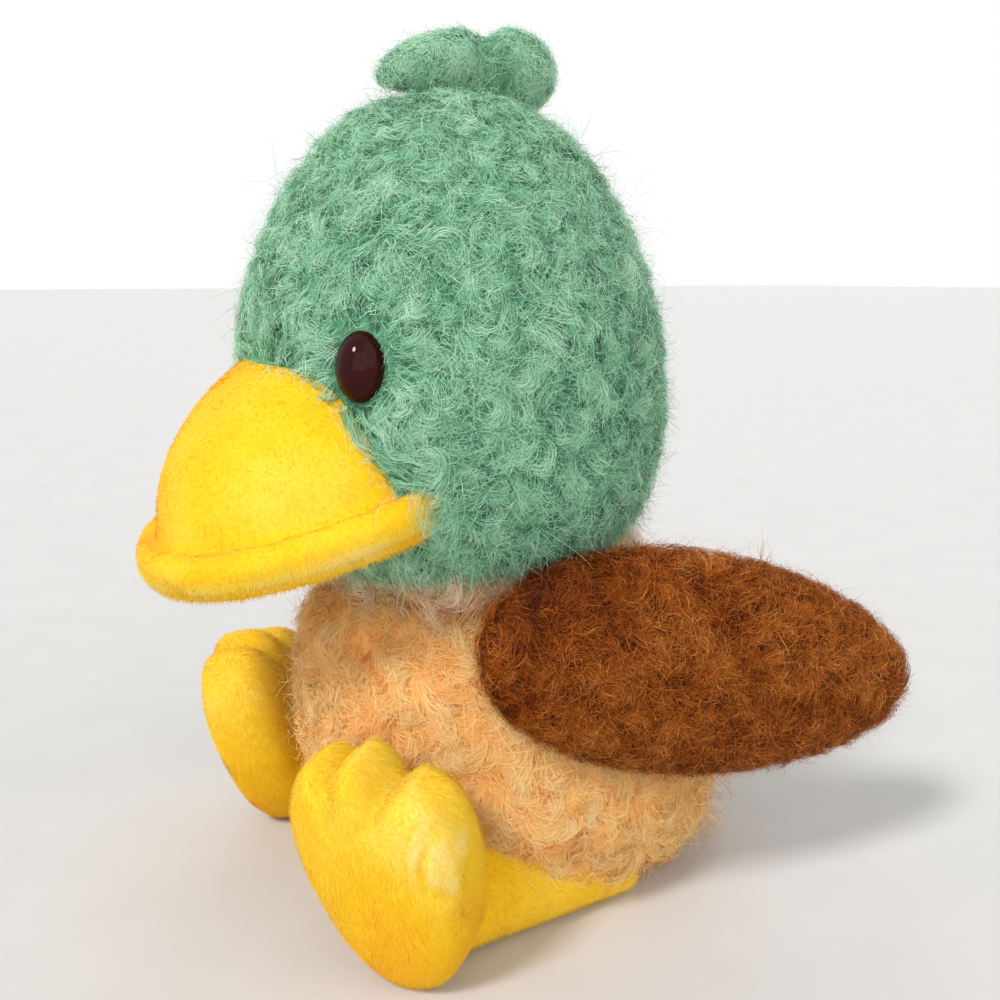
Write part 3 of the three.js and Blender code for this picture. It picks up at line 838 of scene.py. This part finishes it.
def bill_lower_rows():
    """A flat slab with a rounded edge, just under the mouth's plane."""
    rows = []
    for a in np.linspace(-np.pi / 2, np.pi / 2, 26)[1:-1]:
        inset = LOWER_HALF * (1 - math.cos(a))
        z = -MOUTH_GAP - LOWER_HALF + LOWER_HALF * math.sin(a)
        rows.append(oval(BILL_WIDE + LOWER_REACH - inset, BILL_LONG + LOWER_REACH - inset, z))
    flat = [rows[0] * [s, s, 1] for s in (0.3, 0.6, 0.9)]
    top = [rows[-1] * [s, s, 1] for s in (0.9, 0.6, 0.3)]
    pole = lambda z: np.array([0, 0, z])
    rows = [pole(-MOUTH_GAP - 2 * LOWER_HALF), *flat, *rows, *top, pole(-MOUTH_GAP)]
    return [bill_place(r) for r in rows]


# The duck

MIRROR = np.array([-1.0, 1, 1])
VELOUR_SHADE = 0.56


def mirrored(rows):
    """The right side's copy, with its rings turned round so that faces still look out."""
    return [r * MIRROR if r.ndim == 1 else np.roll((r * MIRROR)[::-1], 1, 0) for r in rows]


def combed(*v):
    """A comb that points the same way everywhere."""
    return lambda p: np.broadcast_to(np.array(v, float), p.shape)


def leftward(p):
    """Both sides folded onto the left."""
    return np.abs(p) * [1, 0, 0] + p * [0, 1, 1]


def distance(p, place):
    return np.linalg.norm(p - np.array(place), axis=1)


EYE_LIFT, EYE_TURN = 58, 41
EYE_HALF_WIDTH, EYE_HALF_HEIGHT = 5.5, 7.75
EYE_DOME, EYE_BACK, EYE_SUNK = 5.2, 2.2, 1.6
NEAR_EYE = 2.2  # eye sizes


def eye_axes():
    """The left eye's middle, and its own right, up and outward directions."""
    profile = curve(HEAD_SHARES, np.linspace(0, 1, 2001))
    i = int(np.argmax(profile[:, 1] * HEAD_HEIGHT >= EYE_LIFT))
    slope = (profile[i + 1] - profile[i]) * HEAD_SIZE
    lean = math.atan2(-slope[0], slope[1])
    out = np.array([[0, 0, 1.0], [0, 1.0, 0], [1.0, 0, 0]])
    out = spin(spin(out, 0, 90 - math.degrees(lean)), 2, EYE_TURN)
    radius = profile[i, 0] * HEAD_RADIUS
    a = math.radians(EYE_TURN)
    x, y = radius * math.sin(a), -radius * math.cos(a) - HEAD_FORWARD
    return np.array([x, y, HEAD_BOTTOM + EYE_LIFT]), out[2], out[1], out[0]


EYE_MIDDLE, EYE_RIGHT, EYE_UP, EYE_OUT = eye_axes()


def eye_share(p):
    """How far a place lies from the nearer eye, in eye sizes: 1 is its rim."""
    q = leftward(p) - EYE_MIDDLE
    return np.hypot(q @ EYE_RIGHT / EYE_HALF_WIDTH, q @ EYE_UP / EYE_HALF_HEIGHT)


def beak_share(p):
    """How far a place lies from the middle of the bill's root, in bill sizes: 1 is its edge."""
    x, _, z = bill_frame(p).T
    return np.hypot(x / BILL_WIDE, np.maximum(z - 2, 0) / BILL_DOME)


NECK_BARE, HEM = 7, 21
BILL_CORNER = (47, -36, 117)


def head_keep(p):
    """Fur everywhere but under the bill and the eyes, and inside the neck."""
    x, y, z = bill_frame(p).T
    inside = (x / (BILL_WIDE - 1)) ** 2 + (y / (BILL_LONG - 1.5)) ** 2
    dome = (BILL_DOME - 2) * np.sqrt(np.clip(1 - inside, 0, 1))
    under = (z > -5) & (z < dome) & (inside < 1)
    bare = (eye_share(p) <= 1) | under | (p[:, 2] < HEAD_BOTTOM + NECK_BARE)
    return (~bare).astype(float)


def head_comb(p):
    """Downwards, but away from the eyes and the bill near them."""
    eye = EYE_MIDDLE * np.where(p[:, :1] < 0, MIRROR, 1)
    bill = np.array([0, -HEAD_FORWARD - BILL_AHEAD, HEAD_BOTTOM + BILL_LIFT + 4])
    down = np.array([0, -0.3, -1.0])
    near_bill = (bell(beak_share(p) - 1, 0.3) * (p[:, 1] < -HEAD_FORWARD))[:, None] * 3
    near_eye = np.clip(NEAR_EYE - eye_share(p), 0, 1.2)[:, None] * (8 - 2 * near_bill)
    return down + unit(p - eye) * near_eye + unit(p - bill) * near_bill


def head_steady(p):
    """Round the eyes and the bill the pile keeps to the comb."""
    by_bill = bell(beak_share(p) - 1, 0.2) * (p[:, 1] < -HEAD_FORWARD)
    by_eye = np.clip(NEAR_EYE - eye_share(p), 0, 1)
    return 1 - 0.85 * np.maximum(by_bill, by_eye)


def head_tone(p):
    """Painted shade: darker in the recess round the eyes and towards the neck, under the head."""
    neck = np.clip((HEAD_BOTTOM + HEM - p[:, 2]) / 18, 0, 1)
    return -0.06 * bell(eye_share(p) - 1.1, 0.4) - 0.18 * neck


def head_avoid(p):
    """Over an eye, or well inside the bill's outline."""
    x, _, z = bill_frame(p).T
    reach = np.hypot(x / BILL_WIDE, z / BILL_DOME)
    in_bill = (reach < 0.98) & (z > 3) & (p[:, 1] < -HEAD_FORWARD - 20)
    return (eye_share(p) < 1.02) | in_bill


def crest_tone(p):
    """Painted shade: darker in the fold where the roll is tied."""
    y, z = crest_spine(CREST_PINCH)
    return -0.3 * bell(p[:, 1] - y + (p[:, 2] - z) * 0.5, 2.6)


def build_head():
    """Green curls, a fine fuzz over them, wisps, a thick hem and tufts by the bill's corners."""
    green = (Skin(head_rows(-SUNK)), GREEN, "head", "green_fur")
    skin_object("head_skin", *green, "head_cover", "head_stuffing", fill=0.8, shade=0.2)
    pile("head_fur", *green, count=104000, spacing=3.1, length=8, lift=3.4, width=0.12,
         comb=head_comb, swirl=1.6, swirl_size=12, toss=0.9, curl=0.38, clump=0.8, loose=0.12,
         seed=11, keep=head_keep, tone=head_tone, root=0.04, tip=0.86, steady=head_steady,
         fleck=0.07, avoid=head_avoid)
    fuzz("head_fuzz", *green, count=46000, length=3.2, width=0.09, lift=3.2, seed=14,
         keep=head_keep, tone=head_tone, shade=0.68, avoid=head_avoid)
    pile("head_wisps", *green, count=420, spacing=12, length=13, lift=5, width=0.1,
         comb=head_comb, swirl_size=30, curl=0.12, clump=0.2, loose=1, seed=15, keep=head_keep,
         root=0.7, tip=0.9, flare=4, steady=head_steady, avoid=head_avoid)
    hem = lambda p: head_keep(p) * (p[:, 2] < HEAD_BOTTOM + HEM)
    pile("head_hem", *green, count=60000, spacing=4, length=7, lift=3, width=0.14,
         comb=combed(0, 0, -1), swirl=0.6, toss=0.5, curl=0.2, clump=0.75, loose=0.3, seed=13,
         keep=hem, root=0.2, tip=0.9, flare=3, avoid=head_avoid)
    corner = lambda p: head_keep(p) * bell(distance(leftward(p), BILL_CORNER), 7)
    pile("corner_fur", *green, count=90000, spacing=3, length=9, lift=4, width=0.12,
         comb=combed(0, -1, -0.5), swirl=0.4, toss=0.4, curl=0.2, clump=0.7, seed=17,
         keep=corner, root=0.1, tip=0.7, flare=5)


def build_crest():
    green = (Skin(crest_rows(-CREST_SUNK)), GREEN, "crest", "green_fur")
    skin_object("crest_skin", *green, "crest", fill=0.6, shade=0.3)
    pile("crest_fur", *green, count=26000, spacing=3, length=5, lift=1.2, width=0.12,
         comb=combed(0, -0.3, -1), swirl=0.9, toss=0.5, loose=0.12, seed=12, root=0.16,
         tip=0.9, tone=crest_tone)
    fuzz("crest_fuzz", *green, count=14000, length=2.8, width=0.09, lift=1.6, seed=16,
         tone=crest_tone, shade=0.74)


TAIL = (20, 60, 9)


def build_body():
    """Peach curls with a fine fuzz over them, and a tuft at the back in place of a tail."""
    peach = (Skin(body_rows(-SUNK)), PEACH, "body", "peach_fur")
    skin_object("body_skin", *peach, "body_cover", "body_stuffing", "pellet_bag", fill=0.7,
                shade=0.5)
    keep = lambda p: (p[:, 2] > 1.5).astype(float)
    # Painted shade: darker over the lowest 12 mm, towards the floor.
    tone = lambda p: -0.1 * np.clip((12 - p[:, 2]) / 12, 0, 1)
    pile("body_fur", *peach, count=74000, spacing=4.4, length=10, lift=3.6, width=0.14,
         comb=combed(0, 0, -1), toss=0.9, curl=0.4, clump=0.86, loose=0.12, seed=21, keep=keep,
         tone=tone, root=0.3, tip=0.98, fleck=0.06, uneven=0.15)
    fuzz("body_fuzz", *peach, count=36000, length=3.2, width=0.09, lift=3.2, seed=24, keep=keep,
         tone=tone, shade=0.8)
    tail = lambda p: bell(distance(p, TAIL), 12)
    pile("tail_fur", *peach, count=50000, spacing=4, length=14, lift=6, width=0.14,
         comb=combed(0, 0.3, -1), toss=0.5, clump=0.75, seed=23, keep=tail, root=0.4, tip=0.85,
         flare=7, fleck=0.05)


def build_collar():
    """Cream locks that hang outward from under the head, palest at the front."""
    cream = (Skin(collar_rows(-COLLAR_SUNK)), CREAM, "body", "cream_fur")
    skin_object("collar_skin", *cream, "neck_ring", fill=0.5, shade=0.5)
    comb = lambda p: p * [1, 1, 0] - [0, COLLAR_Y, 12]
    outside = lambda p: (np.hypot(p[:, 0], p[:, 1] - COLLAR_Y) > 28).astype(float)
    pale = lambda p: 0.25 * bell(np.hypot(np.abs(p[:, 0]) - 20, p[:, 1] + 36), 16) - 0.08
    pile("collar_fur", *cream, count=24000, spacing=4.6, length=13, lift=4.5, width=0.14,
         comb=comb, curl=0.35, clump=0.88, loose=0.2, seed=22, keep=outside, root=0.4,
         tip=0.95, flare=5, tone=pale)


# On the left wing: the corner by the neck, round which shade is painted, and the tuft that stands
# at its back.
WING_TOP, NECK_SHADE_REACH = (44, -10, 100), 26
WING_TUFT = (62, 44, 96)
WING_ENDS = wing_place(np.array([[0.0, 0, 0], [1.0, 0, 0], [WING_SEAM, 0, 0]]))
WING_ALONG = WING_ENDS[1] - WING_ENDS[0]
SEAM_REACH = WING_ENDS[2] @ WING_ALONG


def build_wing(side):
    """Short brown curls, painted darker as shade in the seam's groove and by the neck, and a
    standing tuft.
    """
    flip, seed = (1, 31) if side == "left" else (MIRROR, 32)

    # Painted shade: darker in the seam's groove and round the wing's corner by the neck.
    def tone(p):
        groove = (p * flip) @ WING_ALONG - SEAM_REACH
        neck = np.clip(1 - distance(p * flip, WING_TOP) / NECK_SHADE_REACH, 0, 1)
        return -0.22 * bell(groove, 3) - 0.4 * neck

    rows = wing_rows(-SUNK)
    name = "wing_" + side
    brown = (Skin(rows if side == "left" else mirrored(rows)), BROWN, name, "brown_fur")
    skin_object(name + "_skin", *brown, name, fill=0.5, shade=0.12)
    pile(name + "_fur", *brown, count=52000, spacing=2.8, length=6.5, lift=1.6, width=0.12,
         comb=combed(0, 1, -0.3), swirl=0.8, swirl_size=16, toss=0.7, curl=0.3, clump=0.3,
         loose=0.15, steps=5, seed=seed, tone=tone, tip=0.76, fleck=0.13, uneven=0.08)
    fuzz(name + "_fuzz", *brown, count=26000, length=2.6, width=0.09, lift=1.8, seed=seed + 2,
         tone=tone, shade=0.6)
    tuft = lambda p: bell(distance(p * flip, WING_TUFT), 5)
    pile(name + "_wisps", *brown, count=2600, spacing=3, length=7, lift=4, width=0.11,
         comb=combed(0, 0.2, 1), toss=0.4, clump=0.85, seed=35, keep=tuft, root=0.2, tip=0.55,
         flare=6)


RIGHT_SPREAD = 8.5
WORN_PLACE = (63, -48, 40)
FOLD_PITCH, FOLD_HEIGHT = 5, 0.4


def velour_tone(p):
    """Soft patches, large and small."""
    return waves(p, 30, 5) * 0.06 + waves(p, 9, 6) * 0.03


def leg_tone(p):
    return velour_tone(p) + 0.04


def worn_patch(p):
    """The pale place by the outer toe of the left sole."""
    return np.clip(bell(distance(p, WORN_PLACE), 8) * 1.6, 0, 1)


def wrinkles(p):
    """Small upright folds in the worn patch, from -1 to 1, and one that runs on to the heel."""
    run = p @ np.array([0.84, 0.54, 0]) + 1.2 * waves(p, 16, 8)
    up = p[:, 2] - 24
    heel = -0.8 * bell(run - 28 - up * 0.16, 1.3) * bell(up, 12) * (p[:, 0] > 0)
    return worn_patch(p) * np.sin(run * 2 * np.pi / FOLD_PITCH) + heel


def foot_tone(p):
    """Painted light and shade: lighter at the toes on top, deeper at the heel by the floor and in
    the wrinkles of the worn patch. The patch itself is paler with wear.
    """
    # Wear makes the patch paler; the wrinkles add painted shade in their troughs and at the heel
    # fold.
    worn = worn_patch(p) * (0.15 + 0.05 * waves(p, 5, 7)) + 0.1 * wrinkles(p)
    # Painted light: lighter with height, deeper towards the floor.
    return velour_tone(p) + 0.6 * np.minimum(p[:, 2] / 60 - 0.45, 0.3) + worn


def build_leg(side):
    """A leg and its foot: the right ones are the left ones turned further out and mirrored."""
    left = side == "left"
    spread, folds = (0, 0.8) if left else (RIGHT_SPREAD, 0.3)
    legs = [turn_out(r, spread) for r in leg_rows(-VELOUR_SUNK)]
    for r in legs:
        r[..., 2] = np.maximum(r[..., 2], LIMB_CLEAR)
    feet = foot_rows(-VELOUR_SUNK, spread, folds)
    if not left:
        legs, feet = mirrored(legs), mirrored(feet)
    for part, rows, tone, count, seed in (
        ("leg", legs, leg_tone, 34000, 41),
        ("foot", feet, foot_tone, 70000, 51),
    ):
        skin = Skin(rows)
        if part == "foot":
            skin.verts = skin.verts + skin.normals * wrinkles(skin.verts)[:, None] * FOLD_HEIGHT
            skin.measure()
        name = f"{part}_{side}"
        skin_object(name + "_velour", skin, YELLOW, name, "yellow_velour", name, fill=0.7,
                    shade=VELOUR_SHADE + tone(skin.verts))
        nap(name + "_nap", skin, YELLOW_NAP, name, "yellow_velour", count=count, length=1.0,
            width=0.12, comb=combed(0, 0, -1), seed=seed + (not left), tone=tone)


def bill_tone(p):
    """Painted shade: deeper at the mouth's corners and in the crease. Paler at the edge, and worn
    paler on the cheeks.
    """
    x, y, z = bill_frame(p).T
    # corner and crease are painted shade; worn is a pale worn patch.
    corner = bell(np.hypot(np.abs(x) - 42, y - 2), 9)
    worn = bell(np.linalg.norm([np.abs(x) - 32, y + 20, (z - 12) * 1.4], axis=0), 12)
    worn = np.clip(worn * 1.8, 0, 1)
    crease = bell(z - 4.8, 1.2) * (np.hypot(x / (BILL_WIDE + 1), y / (BILL_LONG + 0.5)) > 0.9)
    edge = (np.hypot(x / (BILL_WIDE + 4.5), y / (BILL_LONG + 4.5)) > 1.0) * bell(z + 2.5, 2.5)
    return velour_tone(p) - 0.16 * corner - 0.12 * crease + 0.34 * edge + 0.2 * worn - 0.04


def outside_head(p):
    radius = np.interp(p[:, 2], HEAD_LINE[:, 1], HEAD_LINE[:, 0])
    return (np.hypot(p[:, 0], p[:, 1] + HEAD_FORWARD) > radius - 4).astype(float)


def lip_keep(p):
    """The rounded edge of both halves, outside the head."""
    x, y, z = bill_frame(p).T
    rim = np.hypot(x / (BILL_WIDE + 4), y / (BILL_LONG + 4)) > 1
    return outside_head(p) * rim * (z < 1.5)


def build_bill():
    """Both halves in short nap, with a longer fringe round the edge."""
    # The lower half is painted darker, as shade under the brim.
    for part, rows, under_brim_shade, count, seed in (
        ("upper", bill_upper_rows(), 0, 100000, 61),
        ("lower", bill_lower_rows(), 0.18, 50000, 62),
    ):
        skin = Skin(rows)
        name = "bill_" + part
        nodes = (name, "bill_stuffing") if part == "upper" else (name,)
        tone = lambda p: bill_tone(p) - under_brim_shade
        skin_object(name + "_velour", skin, YELLOW, "head", "yellow_velour", *nodes, fill=0.7,
                    shade=VELOUR_SHADE + tone(skin.verts))
        yellow = (skin, YELLOW_NAP, "head", "yellow_velour")
        nap(name + "_nap", *yellow, count=count, length=0.7, width=0.14,
            comb=combed(0, -0.4, -1), seed=seed, keep=outside_head, tone=tone)
        nap(name + "_edge", *yellow, count=130000, length=1.0, width=0.11,
            comb=combed(0, 0, -1), seed=seed + 5, keep=lip_keep, tone=lambda p: tone(p) + 0.1,
            stand=1.2)


def build_eyes():
    """Oval buttons, domed in front and shallow behind."""
    across, tall = EYE_HALF_WIDTH * COS, EYE_HALF_HEIGHT * SIN
    for side in ("left", "right"):
        rows = []
        for a in np.radians(np.linspace(-90, 90, 40)):
            depth = (EYE_DOME if a > 0 else EYE_BACK) * math.sin(a)
            ring = EYE_RIGHT * across[:, None] + EYE_UP * tall[:, None]
            ring = ring * max(math.cos(a), 1e-4)
            rows.append(EYE_MIDDLE + ring + EYE_OUT * (depth - EYE_SUNK))
        rows = [rows[0].mean(0), *rows[1:-1], rows[-1].mean(0)]
        if side == "right":
            rows = mirrored(rows)
        verts, faces = close_rows(rows)
        made = mesh_object(f"eye_{side}_button", verts, faces, EYE)
        dress(made, "head", "eye_gloss", "eye_" + side)


FLOOR_REACH, FLOOR_DROP = 15000, 0.05


def build_floor():
    corners = np.array([(-1, -1, 0), (1, -1, 0), (1, 1, 0), (-1, 1, 0)]) * FLOOR_REACH
    mesh_object("floor", corners - [0, 0, FLOOR_DROP], [(0, 1, 2, 3)], FLOOR)


def build_world():
    """Soft light from all round, which looks plain white to the camera and in gloss and glass."""
    world = bpy.data.worlds.new("studio")
    bpy.context.scene.world = world
    world.use_nodes = True
    sky = world.node_tree
    rays = node(sky, "ShaderNodeLightPath")
    soft = sky.nodes["Background"]
    soft.inputs["Color"].default_value = (1, 1, 1, 1)
    soft.inputs["Strength"].default_value = 0.5
    plain = node(sky, "ShaderNodeBackground", Color=(1, 1, 1, 1), Strength=1.0)
    choose = node(sky, "ShaderNodeMixShader")
    white = rays.outputs["Is Camera Ray"]
    for ray in ("Is Glossy Ray", "Is Transmission Ray"):
        either = node(sky, "ShaderNodeMath", operation="MAXIMUM")
        sky.links.new(white, either.inputs[0])
        sky.links.new(rays.outputs[ray], either.inputs[1])
        white = either.outputs[0]
    sky.links.new(white, choose.inputs[0])
    sky.links.new(soft.outputs[0], choose.inputs[1])
    sky.links.new(plain.outputs[0], choose.inputs[2])
    sky.links.new(choose.outputs[0], sky.nodes["World Output"].inputs["Surface"])


build_head()
build_crest()
build_body()
build_collar()
for side in ("left", "right"):
    build_wing(side)
    build_leg(side)
build_bill()
build_eyes()
for washer in ("eye_washer_left", "eye_washer_right"):
    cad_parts[washer].material_slots[0].material = WASHER
build_floor()
build_world()

bpy.context.view_layer.update()
